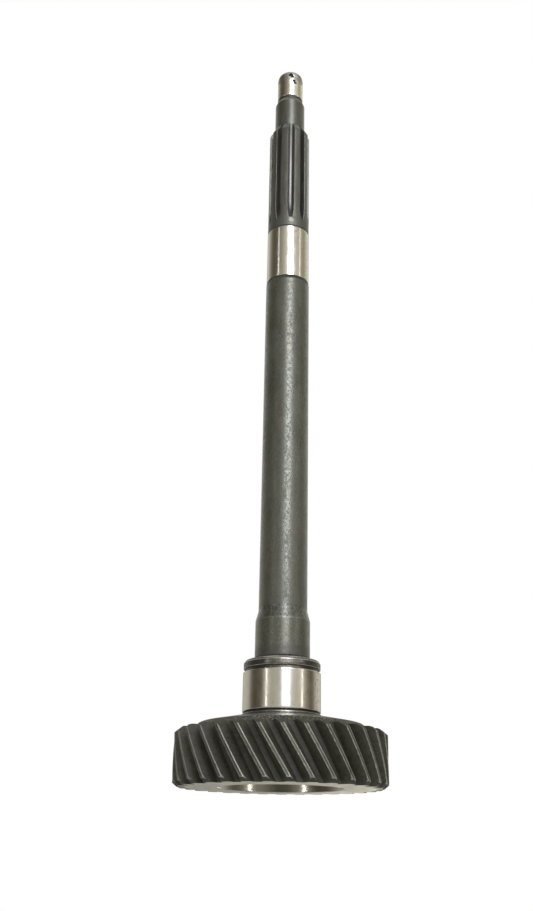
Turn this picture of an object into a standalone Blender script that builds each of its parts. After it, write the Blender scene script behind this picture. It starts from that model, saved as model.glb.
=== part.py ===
"""Clutch shaft: a gearbox input shaft forged and machined in one piece with its helical gear.

The shaft stands on the gear's rear face. The origin is the centre of that face and +Z runs
along the axis to the pilot nose. Lengths below are in millimetres, angles in degrees.
"""
import math

import bmesh
import bpy

MM = 0.001

# Helical gear, left hand
GEAR_TEETH = 31
GEAR_TIP_DIAMETER = 108.0
TOOTH_ADDENDUM = 3.0
TOOTH_DEDENDUM = 3.3
HELIX_ANGLE = 30.0
PRESSURE_ANGLE = 20.0
TOOTH_TOP_LAND = 1.8
TOOTH_ROOT_FILLET = 0.9
GEAR_WIDTH = 27.5
GEAR_CHAMFER_DEPTH = 2.5
GEAR_CHAMFER_LENGTH = 2.0
FIRST_TOOTH_AZIMUTH = -84.65

# Pocket in the gear's rear face
POCKET_DIAMETER = 62.0
POCKET_DEPTH = 22.0
POCKET_LEAD_IN_LENGTH = 4.5
POCKET_LEAD_IN_DEPTH = 0.8
POCKET_FLOOR_FILLET = 1.5

# Web and hub in front of the gear
RIM_STEP = 1.7
WEB_SLOPE_WIDTH = 4.0
WEB_SLOPE_RISE = 2.9
WEB_RISE = 7.0
HUB_DIAMETER = 41.4
HUB_HEIGHT = 0.9
HUB_FILLET = 0.5
HUB_EDGE = 0.3

# Ground journal of the main bearing, between a relief and the snap ring's groove
JOURNAL_DIAMETER = 40.5
JOURNAL_LENGTH = 19.7
JOURNAL_EDGE = 0.3
RELIEF_WIDTH = 1.4
RELIEF_DEPTH = 0.7
RING_GROOVE_WIDTH = 1.8
RING_GROOVE_DEPTH = 1.3
COLLAR_DIAMETER = 40.0
COLLAR_WIDTH = 4.3
COLLAR_EDGE_LENGTH = 1.3
COLLAR_EDGE_DEPTH = 1.0

# Neck and plain shaft
NECK_DIAMETER = 29.0
NECK_LENGTH = 21.0
NECK_FILLET = 1.0
TAPER_LENGTH = 5.6
SHAFT_DIAMETER = 26.0
SHAFT_LENGTH = 201.0
SHAFT_EDGE = 0.3

# Ground seat above the plain shaft, with a groove at its foot and a relief at its top
SEAT_GROOVE_WIDTH = 1.2
SEAT_GROOVE_DEPTH = 0.3
SEAT_DIAMETER = 25.6
SEAT_LENGTH = 36.3
SEAT_EDGE = 0.3
SEAT_RELIEF_WIDTH = 0.6
SEAT_RELIEF_DEPTH = 0.35

# Splines for the clutch disc, with teeth of parallel sides
SPLINE_TEETH = 10
SPLINE_DIAMETER = 25.4
SPLINE_ROOT_DIAMETER = 19.0
SPLINE_TOOTH_WIDTH = 3.96
SPLINE_BARE_LENGTH = 5.6
SPLINE_RUN_OUT = 12.0
SPLINE_LENGTH = 57.0
SPLINE_CHAMFER_LENGTH = 5.7
FIRST_GROOVE_AZIMUTH = -84.5

# Pilot neck and nose
PILOT_NECK_LENGTH = 22.8
PILOT_NECK_CHAMFER_LENGTH = 2.6
PILOT_NECK_CHAMFER_DEPTH = 1.15
NOSE_DIAMETER = 16.4
NOSE_LENGTH = 23.1
NOSE_UNDERCUT_WIDTH = 2.2
NOSE_UNDERCUT_DEPTH = 0.4
NOSE_ROUND_LENGTH = 4.0
NOSE_ROUND_DEPTH = 2.6
CENTRE_DIAMETER = 5.2
CENTRE_DRILL_DIAMETER = 2.0
CENTRE_DRILL_DEPTH = 5.5
CENTRE_ANGLE = 60.0

# Fineness of the mesh
ROUND_SIDES = 56
NOSE_SIDES = 48
FLANK_STEPS = 3
HELIX_STEPS = 4
RUN_OUT_STEPS = 5
LAND_STEPS = 3
CHAMFER_STEPS = 3
FILLET_STEPS = 3
NOSE_ROUND_STEPS = 4
SHARP_ANGLE = 28.0

STEEL_COLOUR = (0.085, 0.082, 0.070, 1.0)
STEEL_ROUGHNESS = 0.38
STEEL_METALLIC = 1.0


def involute(angle):
    """Roll angle of an involute less its pressure angle, both in radians."""
    return math.tan(angle) - angle


class Gear:
    """Sizes of the helical gear that follow from its driving dimensions."""
    tip_radius = GEAR_TIP_DIAMETER / 2
    pitch_radius = tip_radius - TOOTH_ADDENDUM
    root_radius = pitch_radius - TOOTH_DEDENDUM
    tooth_angle = 2 * math.pi / GEAR_TEETH
    helix_slope = math.tan(math.radians(HELIX_ANGLE)) / pitch_radius
    transverse_angle = math.atan(
        math.tan(math.radians(PRESSURE_ANGLE)) / math.cos(math.radians(HELIX_ANGLE)))
    base_radius = pitch_radius * math.cos(transverse_angle)

    @classmethod
    def half_tooth(cls, radius):
        """Half of the angle that a tooth takes at this radius, from its involute flanks."""
        def roll(at):
            return involute(math.acos(min(1.0, cls.base_radius / at)))
        tip_half = TOOTH_TOP_LAND / 2 / cls.tip_radius
        return tip_half + roll(cls.tip_radius) - roll(radius)

    @staticmethod
    def blank_radius(z):
        """Outer radius of the turned blank, chamfered at both ends."""
        from_end = min(z, GEAR_WIDTH - z)
        cut = max(0.0, 1 - from_end / GEAR_CHAMFER_LENGTH)
        return Gear.tip_radius - GEAR_CHAMFER_DEPTH * cut


def polar(radius, azimuth, z):
    """Point in metres at a radius, an azimuth in radians and a height."""
    return (radius * math.cos(azimuth) * MM, radius * math.sin(azimuth) * MM, z * MM)


def circle(radius, z, sides=ROUND_SIDES):
    """Section of a turned stretch."""
    return [polar(radius, 2 * math.pi * i / sides, z) for i in range(sides)]


def gear_section(z):
    """Section of the gear at a height: every tooth's two flanks, turned by the helix."""
    outer = Gear.blank_radius(z)
    fillet_top = Gear.root_radius + TOOTH_ROOT_FILLET
    radii = [outer - (outer - fillet_top) * i / FLANK_STEPS for i in range(FLANK_STEPS + 1)]
    flank = [(r, Gear.half_tooth(r)) for r in radii]
    root_half = Gear.half_tooth(Gear.root_radius) + TOOTH_ROOT_FILLET / Gear.root_radius
    flank.append((Gear.root_radius, root_half))
    turn = math.radians(FIRST_TOOTH_AZIMUTH) - Gear.helix_slope * z
    points = []
    for tooth in range(GEAR_TEETH):
        middle = turn + tooth * Gear.tooth_angle
        points += [polar(r, middle - half, z) for r, half in reversed(flank)]
        points += [polar(r, middle + half, z) for r, half in flank]
    return points


def spline_section(z, land_radius, depth_share=1.0):
    """Section of the splines: lands at one radius, grooves at a share of their full depth.

    The cutter's tip keeps its width, so a shallower groove is also a narrower one.
    """
    step = 2 * math.pi / SPLINE_TEETH
    root = SPLINE_ROOT_DIAMETER / 2
    half_tooth = SPLINE_TOOTH_WIDTH / 2
    tip_half_width = root * math.sin(step / 2 - math.asin(half_tooth / root))
    mouth_half_width = land_radius * math.sin(step / 2 - math.asin(half_tooth / land_radius))
    mouth_now = tip_half_width + (mouth_half_width - tip_half_width) * depth_share
    floor_radius = land_radius - (land_radius - root) * depth_share
    floor_corner = math.asin(tip_half_width / floor_radius)
    mouth_corner = math.asin(mouth_now / land_radius)
    land = step - 2 * mouth_corner
    points = []
    for groove in range(SPLINE_TEETH):
        middle = math.radians(FIRST_GROOVE_AZIMUTH) + groove * step
        points.append(polar(land_radius, middle - mouth_corner, z))
        for turn in (-floor_corner, 0.0, floor_corner):
            points.append(polar(floor_radius, middle + turn, z))
        for i in range(LAND_STEPS):
            points.append(polar(land_radius, middle + mouth_corner + land * i / LAND_STEPS, z))
    return points


def arc(radius, z, radial, axial, start, end, steps=FILLET_STEPS):
    """Points of a quarter arc round (radius, z), from one angle in degrees to another."""
    points = []
    for i in range(steps + 1):
        angle = math.radians(start + (end - start) * i / steps)
        points.append((radius + radial * math.cos(angle), z + axial * math.sin(angle)))
    return points


def pocket_profile():
    """Pocket from its floor's edge out to the rear face: (radius, z)."""
    wall = POCKET_DIAMETER / 2
    fillet = POCKET_FLOOR_FILLET
    floor = arc(wall - fillet, POCKET_DEPTH - fillet, fillet, fillet, 90, 0)
    return floor + [(wall, POCKET_LEAD_IN_LENGTH), (wall + POCKET_LEAD_IN_DEPTH, 0.0)]


def shaft_profile():
    """Turned stretch from the gear's front face to the foot of the splines: (radius, z)."""
    hub, journal, neck = HUB_DIAMETER / 2, JOURNAL_DIAMETER / 2, NECK_DIAMETER / 2
    collar, shaft, seat = COLLAR_DIAMETER / 2, SHAFT_DIAMETER / 2, SEAT_DIAMETER / 2

    web_top = GEAR_WIDTH + WEB_RISE
    rim = Gear.root_radius - RIM_STEP
    points = [(rim, GEAR_WIDTH), (rim - WEB_SLOPE_WIDTH, GEAR_WIDTH + WEB_SLOPE_RISE)]
    points += arc(hub + HUB_FILLET, web_top + HUB_FILLET, HUB_FILLET, HUB_FILLET, 270, 180)
    z = web_top + HUB_HEIGHT
    points += [(hub, z - HUB_EDGE), (hub - HUB_EDGE, z)]

    relief = journal - RELIEF_DEPTH
    points += [(relief, z), (relief, z + RELIEF_WIDTH - RELIEF_DEPTH)]
    z += RELIEF_WIDTH
    points.append((journal, z))

    z += JOURNAL_LENGTH
    points += [(journal, z - JOURNAL_EDGE), (journal - JOURNAL_EDGE, z)]
    groove = collar - RING_GROOVE_DEPTH
    points += [(groove, z), (groove, z + RING_GROOVE_WIDTH)]
    z += RING_GROOVE_WIDTH
    points += [(collar - JOURNAL_EDGE, z), (collar, z + JOURNAL_EDGE)]

    z += COLLAR_WIDTH
    points += [(collar, z - COLLAR_EDGE_LENGTH), (collar - COLLAR_EDGE_DEPTH, z)]
    points += arc(neck + NECK_FILLET, z + NECK_FILLET, NECK_FILLET, NECK_FILLET, 270, 180)

    z += NECK_LENGTH
    points.append((neck, z))
    z += TAPER_LENGTH
    points.append((shaft, z))
    z += SHAFT_LENGTH
    foot_groove = seat - SEAT_GROOVE_DEPTH
    points += [(shaft, z - SHAFT_EDGE), (foot_groove, z)]
    points += [(foot_groove, z + SEAT_GROOVE_WIDTH), (seat, z + SEAT_GROOVE_WIDTH)]

    z += SEAT_LENGTH
    points += [(seat, z - SEAT_EDGE), (seat - SEAT_RELIEF_DEPTH, z)]
    points.append((seat - SEAT_RELIEF_DEPTH, z + SEAT_RELIEF_WIDTH))
    return points


def spline_sections(foot):
    """Splined stretch and pilot neck, from the foot up, and the height where they end."""
    land, root = SPLINE_DIAMETER / 2, SPLINE_ROOT_DIAMETER / 2
    z = foot + SEAT_RELIEF_DEPTH
    sections = [spline_section(z, land, 0.0)]
    z += SPLINE_BARE_LENGTH
    for i in range(RUN_OUT_STEPS + 1):
        rise = 1 - i / RUN_OUT_STEPS
        sections.append(spline_section(z + SPLINE_RUN_OUT * (1 - rise), land, 1 - rise ** 2))
    z += SPLINE_RUN_OUT + SPLINE_LENGTH
    for i in range(CHAMFER_STEPS + 1):
        share = i / CHAMFER_STEPS
        radius = land + (root - land) * share
        sections.append(spline_section(z + SPLINE_CHAMFER_LENGTH * share, radius))
    z += SPLINE_CHAMFER_LENGTH + PILOT_NECK_LENGTH
    sections.append(spline_section(z - PILOT_NECK_CHAMFER_LENGTH, root))
    return sections, z


def nose_profile(foot):
    """Pilot nose with its undercut, rounded end and lathe centre: (radius, z)."""
    nose = NOSE_DIAMETER / 2
    top = foot + NOSE_LENGTH
    under = nose - NOSE_UNDERCUT_DEPTH
    neck_edge = SPLINE_ROOT_DIAMETER / 2 - PILOT_NECK_CHAMFER_DEPTH
    points = [(neck_edge, foot), (under, foot), (under, foot + NOSE_UNDERCUT_WIDTH)]
    points.append((nose, foot + NOSE_UNDERCUT_WIDTH + NOSE_UNDERCUT_DEPTH))
    points += arc(nose - NOSE_ROUND_DEPTH, top - NOSE_ROUND_LENGTH,
                  NOSE_ROUND_DEPTH, NOSE_ROUND_LENGTH, 0, 90, NOSE_ROUND_STEPS)
    centre, drill = CENTRE_DIAMETER / 2, CENTRE_DRILL_DIAMETER / 2
    cone = (centre - drill) / math.tan(math.radians(CENTRE_ANGLE / 2))
    points += [(centre, top), (drill, top - cone), (drill, top - CENTRE_DRILL_DEPTH)]
    return points


def add_loop(bm, points):
    return [bm.verts.new(point) for point in points]


def join_equal(bm, low, high):
    """Quads between two loops with the same number of points."""
    count = len(low)
    for i in range(count):
        j = (i + 1) % count
        bm.faces.new((low[i], low[j], high[j], high[i]))


def join_by_angle(bm, low, high):
    """Triangles between two loops with different numbers of points, matched by azimuth."""
    def ordered(loop):
        keyed = [(math.atan2(v.co.y, v.co.x), v) for v in loop]
        first = min(range(len(keyed)), key=lambda i: keyed[i][0])
        keyed = keyed[first:] + keyed[:first]
        return keyed + [(keyed[0][0] + 2 * math.pi, keyed[0][1])]
    a, b = ordered(low), ordered(high)
    i = j = 0
    while i < len(a) - 1 or j < len(b) - 1:
        step_a = i < len(a) - 1 and (j == len(b) - 1 or a[i + 1][0] <= b[j + 1][0])
        if step_a:
            bm.faces.new((a[i][1], a[i + 1][1], b[j][1]))
            i += 1
        else:
            bm.faces.new((a[i][1], b[j + 1][1], b[j][1]))
            j += 1


def loft(bm, sections):
    """Skin through all sections in turn, closed by a flat face at both ends."""
    loops = [add_loop(bm, points) for points in sections]
    for low, high in zip(loops, loops[1:]):
        join = join_equal if len(low) == len(high) else join_by_angle
        join(bm, low, high)
    bm.faces.new(reversed(loops[0]))
    bm.faces.new(loops[-1])


def gear_heights():
    """Heights of the gear's sections: both chamfers, and even steps along the helix."""
    start, end = GEAR_CHAMFER_LENGTH, GEAR_WIDTH - GEAR_CHAMFER_LENGTH
    body = [start + (end - start) * i / HELIX_STEPS for i in range(HELIX_STEPS + 1)]
    return [0.0] + body + [GEAR_WIDTH]


def shaft_sections():
    """All sections, from the pocket's floor out over the gear and up to the nose."""
    sections = [circle(r, z) for r, z in pocket_profile()]
    sections += [gear_section(z) for z in gear_heights()]
    turned = shaft_profile()
    sections += [circle(r, z) for r, z in turned]
    splined, neck_top = spline_sections(turned[-1][1])
    sections += splined
    sections += [circle(r, z, NOSE_SIDES) for r, z in nose_profile(neck_top)]
    return sections


def steel():
    material = bpy.data.materials.new("oxidised_steel")
    material.use_nodes = True
    surface = material.node_tree.nodes["Principled BSDF"]
    surface.inputs["Base Color"].default_value = STEEL_COLOUR
    surface.inputs["Roughness"].default_value = STEEL_ROUGHNESS
    surface.inputs["Metallic"].default_value = STEEL_METALLIC
    return material


def build_shaft():
    bm = bmesh.new()
    loft(bm, shaft_sections())
    bmesh.ops.remove_doubles(bm, verts=bm.verts, dist=0.000001)
    bmesh.ops.recalc_face_normals(bm, faces=bm.faces)
    mesh = bpy.data.meshes.new("clutch_shaft")
    bm.to_mesh(mesh)
    bm.free()
    mesh.shade_smooth()
    mesh.set_sharp_from_angle(angle=math.radians(SHARP_ANGLE))
    mesh.materials.append(steel())
    shaft = bpy.data.objects.new("clutch_shaft", mesh)
    bpy.context.scene.collection.objects.link(shaft)
    return shaft


for old in list(bpy.data.objects):
    bpy.data.objects.remove(old)
build_shaft()
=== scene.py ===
# %% [markdown]
# # Dressing a clutch shaft
# The clutch shaft is one forging: a helical gear, a ground bearing journal, a long stem, clutch
# splines and a pilot nose on one axis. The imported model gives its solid. This lesson makes the
# fine surface round that solid, gives each stretch the finish its machining left, and lights it.

# %% Load the frame
import math
from functools import partial, reduce

import bmesh
import bpy
import numpy as np
from mathutils import Matrix


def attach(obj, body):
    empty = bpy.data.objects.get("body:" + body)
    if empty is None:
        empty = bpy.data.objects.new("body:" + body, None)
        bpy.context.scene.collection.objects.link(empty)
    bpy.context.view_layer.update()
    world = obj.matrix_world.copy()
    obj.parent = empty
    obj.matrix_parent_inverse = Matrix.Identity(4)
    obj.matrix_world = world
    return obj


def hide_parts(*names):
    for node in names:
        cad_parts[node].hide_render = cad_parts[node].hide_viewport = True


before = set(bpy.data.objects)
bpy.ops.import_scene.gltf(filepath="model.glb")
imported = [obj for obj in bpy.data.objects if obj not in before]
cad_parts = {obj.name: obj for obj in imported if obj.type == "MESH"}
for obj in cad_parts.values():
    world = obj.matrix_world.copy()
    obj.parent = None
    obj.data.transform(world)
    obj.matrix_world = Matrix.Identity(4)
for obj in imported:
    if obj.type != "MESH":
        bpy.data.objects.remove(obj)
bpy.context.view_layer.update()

# %% [markdown]
# ## Sizes
# A turned part is drawn as radii and heights along its axis. These are the drawing's sizes in
# millimetres, each with its own name. Heights add up from the gear's rear face, which is z = 0.

# %% Sizes of the gear and its pocket
MM = 0.001
TEETH = 31
TIP_RADIUS = 53.998
PITCH_RADIUS = 51.0
ROOT_RADIUS = 47.7
HELIX_ANGLE = math.radians(30)
NORMAL_PRESSURE_ANGLE = math.radians(20)
TOP_LAND = 1.8
ROOT_FILLET = 0.9
GEAR_WIDTH = 27.5
GEAR_CHAMFER_DEPTH = 2.5
GEAR_CHAMFER_LENGTH = 2.0
FIRST_TOOTH = math.radians(-84.65)
POCKET_RADIUS = 31.0
POCKET_DEPTH = 22.0
POCKET_LEAD_LENGTH = 4.5
POCKET_LEAD_DEPTH = 0.8
POCKET_FILLET = 1.5
WEB_FOOT_RADIUS = 46.0
WEB_SLOPE_WIDTH = 4.0
WEB_SLOPE_RISE = 2.9
WEB_RISE = 7.0

# %% Sizes of the hub, journal, collar and stem
HUB_RADIUS = 20.7
HUB_HEIGHT = 0.9
HUB_FILLET = 0.5
JOURNAL_RADIUS = 20.25
JOURNAL_LENGTH = 19.7
RELIEF_WIDTH = 1.4
RELIEF_DEPTH = 0.7
RING_GROOVE_WIDTH = 1.8
RING_GROOVE_DEPTH = 1.3
COLLAR_RADIUS = 20.0
COLLAR_WIDTH = 4.3
COLLAR_EDGE_LENGTH = 1.3
COLLAR_EDGE_DEPTH = 1.0
NECK_RADIUS = 14.5
NECK_LENGTH = 21.0
NECK_FILLET = 1.0
TAPER_LENGTH = 5.6
STEM_RADIUS = 13.0
STEM_LENGTH = 201.0
SEAT_GROOVE_WIDTH = 1.2
SEAT_GROOVE_DEPTH = 0.3
SEAT_RADIUS = 12.8
SEAT_LENGTH = 36.3
SEAT_RELIEF_WIDTH = 0.6
SEAT_RELIEF_DEPTH = 0.35

# %% Sizes of the splines, pilot neck and nose
SPLINE_TEETH = 10
SPLINE_RADIUS = 12.7
SPLINE_ROOT = 9.5
SPLINE_TOOTH_WIDTH = 3.96
SPLINE_BARE = 5.6
SPLINE_RUN_OUT = 12.0
SPLINE_LENGTH = 57.0
SPLINE_CHAMFER_LENGTH = 5.7
FIRST_GROOVE = math.radians(-84.5)
PILOT_NECK_LENGTH = 22.8
NECK_CHAMFER_LENGTH = 2.6
NECK_CHAMFER_DEPTH = 1.15
NOSE_RADIUS = 8.2
NOSE_LENGTH = 23.1
NOSE_UNDERCUT_WIDTH = 2.2
NOSE_UNDERCUT_DEPTH = 0.4
NOSE_ROUND_LENGTH = 4.0
NOSE_ROUND_DEPTH = 2.6
CENTRE_RADIUS = 2.6
CENTRE_DRILL_RADIUS = 1.0
CENTRE_DRILL_DEPTH = 5.5
CENTRE_HALF_ANGLE = math.radians(30)

# %% Heights where one stretch ends and the next begins
HUB_TOP = GEAR_WIDTH + WEB_RISE + HUB_HEIGHT
JOURNAL_FOOT = HUB_TOP + RELIEF_WIDTH
JOURNAL_TOP = JOURNAL_FOOT + JOURNAL_LENGTH
COLLAR_FOOT = JOURNAL_TOP + RING_GROOVE_WIDTH
COLLAR_TOP = COLLAR_FOOT + COLLAR_WIDTH
NECK_TOP = COLLAR_TOP + NECK_LENGTH
STEM_FOOT = NECK_TOP + TAPER_LENGTH
STEM_TOP = STEM_FOOT + STEM_LENGTH
SEAT_FOOT = STEM_TOP + SEAT_GROOVE_WIDTH
SEAT_TOP = STEM_TOP + SEAT_LENGTH
SPLINE_FOOT = SEAT_TOP + SEAT_RELIEF_WIDTH + SEAT_RELIEF_DEPTH
GROOVE_TIP = SPLINE_FOOT + SPLINE_BARE
GROOVE_FULL = GROOVE_TIP + SPLINE_RUN_OUT
LAND_TOP = GROOVE_FULL + SPLINE_LENGTH
NECK_FOOT = LAND_TOP + SPLINE_CHAMFER_LENGTH
NOSE_FOOT = NECK_FOOT + PILOT_NECK_LENGTH
NECK_CHAMFER_FOOT = NOSE_FOOT - NECK_CHAMFER_LENGTH
NOSE_JOIN = NECK_CHAMFER_FOOT - 1.0
NOSE_TOP = NOSE_FOOT + NOSE_LENGTH
print(f"journal {JOURNAL_FOOT:.1f} to {JOURNAL_TOP:.1f}, stem {STEM_FOOT:.1f} to {STEM_TOP:.1f},"
      f" splines {GROOVE_TIP:.1f} to {NECK_FOOT:.1f}, end {NOSE_TOP:.2f} mm")

# %% [markdown]
# ## The lathe profile
# On the lathe every corner gets broken by a light file or a stone. Handling then polishes those
# outer corners bright, while inner corners fill with dirt and get painted shade. So each outer
# corner of the profile becomes a tiny arc with a corner value of 1, and each inner corner has -1.
# The finishes read it later. Helper points beside each corner keep the value narrow, because it is
# spread evenly from one point to the next.

# %% Profile helpers: arcs and broken corners
EDGE_BREAK = 0.22
CORNER_REACH = 0.7
CORNER_TURN = math.radians(22)
CORNER_BLUNT = 0.29
LEAST_REACH = 0.3
CUT_SHARE = 0.4
REACH_SHARE = 0.49
CUT_CLEARANCE = 1.2


def arc(radius, z, radial, axial, start, end, steps=8):
    """Quarter arc round (radius, z), between two angles in degrees."""
    angles = [math.radians(start + (end - start) * i / steps) for i in range(steps + 1)]
    return [(radius + radial * math.cos(a), z + axial * math.sin(a)) for a in angles]


def unit(a, b):
    """Direction from a to b, and how far it is."""
    length = math.dist(a, b)
    return (b[0] - a[0]) / length, (b[1] - a[1]) / length, length


def break_corners(points):
    """Profile with broken corners, as (radius, z, corner). An outer corner turns to the left."""
    broken = [(*points[0], 0.0)]
    for before, (r, z), after in zip(points, points[1:], points[2:]):
        in_r, in_z, in_length = unit(before, (r, z))
        out_r, out_z, out_length = unit((r, z), after)
        turn = math.atan2(in_r * out_z - in_z * out_r, in_r * out_r + in_z * out_z)
        sharp = abs(turn) > CORNER_TURN
        value = (1.0 if turn > 0 else -1.0) * sharp
        cut = min(EDGE_BREAK, CUT_SHARE * in_length, CUT_SHARE * out_length) * sharp
        blunt = cut * CORNER_BLUNT
        clear = max(cut * CUT_CLEARANCE, LEAST_REACH)
        back, on = (min(CORNER_REACH, REACH_SHARE * length) for length in (in_length, out_length))
        # Each step: how far before the corner, how far after it, corner value, if it's wanted
        steps = [(back, 0, 0.0, back > clear), (cut, 0, value, sharp), (blunt, blunt, value, True),
                 (0, cut, value, sharp), (0, on, 0.0, on > clear)]
        broken += [(r - in_r * a + out_r * b, z - in_z * a + out_z * b, corner)
                   for a, b, corner, wanted in steps if wanted]
    return broken + [(*points[-1], 0.0)]


# %% Profile of the pocket, from the middle of its floor to the rear face
REAR_RING_RADIUS = 46.5


def pocket_profile():
    wall = POCKET_RADIUS
    points = [(0.0, POCKET_DEPTH)]
    points += arc(wall - POCKET_FILLET, POCKET_DEPTH - POCKET_FILLET,
                  POCKET_FILLET, POCKET_FILLET, 90, 0)
    points += [(wall, POCKET_LEAD_LENGTH), (wall + POCKET_LEAD_DEPTH, 0.0)]
    points.append((REAR_RING_RADIUS, 0.0))
    return points


# %% Profile from the gear's web up to the foot of the splines
def stem_profile():
    web_top = GEAR_WIDTH + WEB_RISE
    journal, collar, neck = JOURNAL_RADIUS, COLLAR_RADIUS, NECK_RADIUS
    points = [(WEB_FOOT_RADIUS, GEAR_WIDTH)]
    points.append((WEB_FOOT_RADIUS - WEB_SLOPE_WIDTH, GEAR_WIDTH + WEB_SLOPE_RISE))
    points += arc(HUB_RADIUS + HUB_FILLET, web_top + HUB_FILLET, HUB_FILLET, HUB_FILLET, 270, 180)
    points += [(HUB_RADIUS, HUB_TOP), (journal - RELIEF_DEPTH, HUB_TOP)]
    points += [(journal - RELIEF_DEPTH, JOURNAL_FOOT - RELIEF_DEPTH), (journal, JOURNAL_FOOT)]
    points += [(journal, JOURNAL_TOP), (collar - RING_GROOVE_DEPTH, JOURNAL_TOP)]
    points += [(collar - RING_GROOVE_DEPTH, COLLAR_FOOT), (collar, COLLAR_FOOT)]
    points += [(collar, COLLAR_TOP - COLLAR_EDGE_LENGTH), (collar - COLLAR_EDGE_DEPTH, COLLAR_TOP)]
    points += arc(neck + NECK_FILLET, COLLAR_TOP + NECK_FILLET, NECK_FILLET, NECK_FILLET, 270, 180)
    points += [(neck, NECK_TOP), (STEM_RADIUS, STEM_FOOT), (STEM_RADIUS, STEM_TOP)]
    foot_groove = SEAT_RADIUS - SEAT_GROOVE_DEPTH
    points += [(foot_groove, STEM_TOP), (foot_groove, SEAT_FOOT), (SEAT_RADIUS, SEAT_FOOT)]
    relief = SEAT_RADIUS - SEAT_RELIEF_DEPTH
    points += [(SEAT_RADIUS, SEAT_TOP), (relief, SEAT_TOP)]
    points += [(relief, SEAT_TOP + SEAT_RELIEF_WIDTH), (SPLINE_RADIUS, SPLINE_FOOT)]
    return points


# %% Profile of the nose, from the pilot neck's chamfer to the middle of the lathe centre
def nose_profile():
    under = NOSE_RADIUS - NOSE_UNDERCUT_DEPTH
    undercut_top = NOSE_FOOT + NOSE_UNDERCUT_WIDTH
    points = [(SPLINE_ROOT, NOSE_JOIN), (SPLINE_ROOT, NECK_CHAMFER_FOOT)]
    points += [(SPLINE_ROOT - NECK_CHAMFER_DEPTH, NOSE_FOOT), (under, NOSE_FOOT)]
    points += [(under, undercut_top), (NOSE_RADIUS, undercut_top + NOSE_UNDERCUT_DEPTH)]
    points += arc(NOSE_RADIUS - NOSE_ROUND_DEPTH, NOSE_TOP - NOSE_ROUND_LENGTH,
                  NOSE_ROUND_DEPTH, NOSE_ROUND_LENGTH, 0, 90, steps=14)
    cone = (CENTRE_RADIUS - CENTRE_DRILL_RADIUS) / math.tan(CENTRE_HALF_ANGLE)
    drill_floor = NOSE_TOP - CENTRE_DRILL_DEPTH
    points += [(CENTRE_RADIUS, NOSE_TOP), (CENTRE_DRILL_RADIUS, NOSE_TOP - cone)]
    points += [(CENTRE_DRILL_RADIUS, drill_floor), (0.0, drill_floor)]
    return points


# %% [markdown]
# ## Turning
# A lathe makes a shape by sweeping one profile round an axis. Blender's Spin does the same: a
# single point is extruded from corner to corner into a wire, and the wire is spun a full turn.
# The alternative, a stack of cylinders, would leave inner walls that a real shaft hasn't got.

# %% Helpers for editing a mesh
SPIN_STEPS = 200
SAME_SPOT = 0.005


def start_edit(name):
    """New object that holds a single point at the origin, in edit mode."""
    bpy.ops.object.select_all(action="DESELECT")
    bpy.ops.mesh.primitive_plane_add(size=MM, location=(0, 0, 0))
    piece = bpy.context.object
    piece.name = piece.data.name = name
    bpy.ops.object.mode_set(mode="EDIT")
    bpy.ops.mesh.merge(type="CENTER")
    return piece


def weld(outward=False):
    """Merges points on one spot, may turn the faces outward, and leaves edit mode."""
    bpy.ops.mesh.select_all(action="SELECT")
    bpy.ops.mesh.remove_doubles(threshold=SAME_SPOT * MM)
    if outward:
        bpy.ops.mesh.normals_make_consistent(inside=False)
    bpy.ops.object.mode_set(mode="OBJECT")


def spin(steps, turn, copies=False):
    """Sweeps everything round the axis, or leaves copies of it at each step."""
    bpy.ops.mesh.select_all(action="SELECT")
    bpy.ops.mesh.spin(steps=steps, dupli=copies, angle=turn, center=(0, 0, 0), axis=(0, 0, 1))
    weld()


def set_corners(piece, values):
    layer = piece.data.attributes.new("corner", "FLOAT", "POINT")
    layer.data.foreach_set("value", np.ascontiguousarray(values, np.float32))


# %% Spin a profile into a surface
def add_corners(piece, profile):
    """Gives every point the corner value of the profile point that it was spun from."""
    flat = np.zeros(len(piece.data.vertices) * 3, np.float32)
    piece.data.vertices.foreach_get("co", flat)
    x, y, z = flat.reshape(-1, 3).T / MM
    table = np.array(profile)
    distance = np.hypot(np.hypot(x, y)[:, None] - table[:, 0], z[:, None] - table[:, 1])
    set_corners(piece, table[distance.argmin(axis=1), 2])


def turned(name, profile):
    """Wire along the profile, spun round the axis, with the profile's corner values."""
    piece = start_edit(name)
    across, along = math.cos(FIRST_GROOVE), math.sin(FIRST_GROOVE)
    radius, z, _ = profile[0]
    bpy.ops.transform.translate(value=(radius * across * MM, radius * along * MM, z * MM))
    for (r0, z0, _), (r1, z1, _) in zip(profile, profile[1:]):
        out = (r1 - r0) * MM
        step = (out * across, out * along, (z1 - z0) * MM)
        bpy.ops.mesh.extrude_vertices_move(TRANSFORM_OT_translate={"value": step})
    spin(SPIN_STEPS, 2 * math.pi)
    add_corners(piece, profile)
    return piece


pocket = turned("pocket", break_corners(pocket_profile()))
stem = turned("stem", break_corners(stem_profile()))
nose = turned("nose", break_corners(nose_profile()))
for piece in (pocket, stem, nose):
    print(piece.name, len(piece.data.vertices), "points")

# %% [markdown]
# ## Gear teeth
# The teeth are hobbed: a rolling cutter leaves involute flanks that follow a left-hand helix.
# An involute can't be drawn by hand, so one tooth starts as a flat grid, with one row of points
# for each height, and a formula lays every row on the tooth. Boolean cuts would also work, but
# their faces shade badly on polished metal. The blank was chamfered at both ends before the
# teeth were cut, so the tip radius shrinks there and the top land widens by itself.

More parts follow.
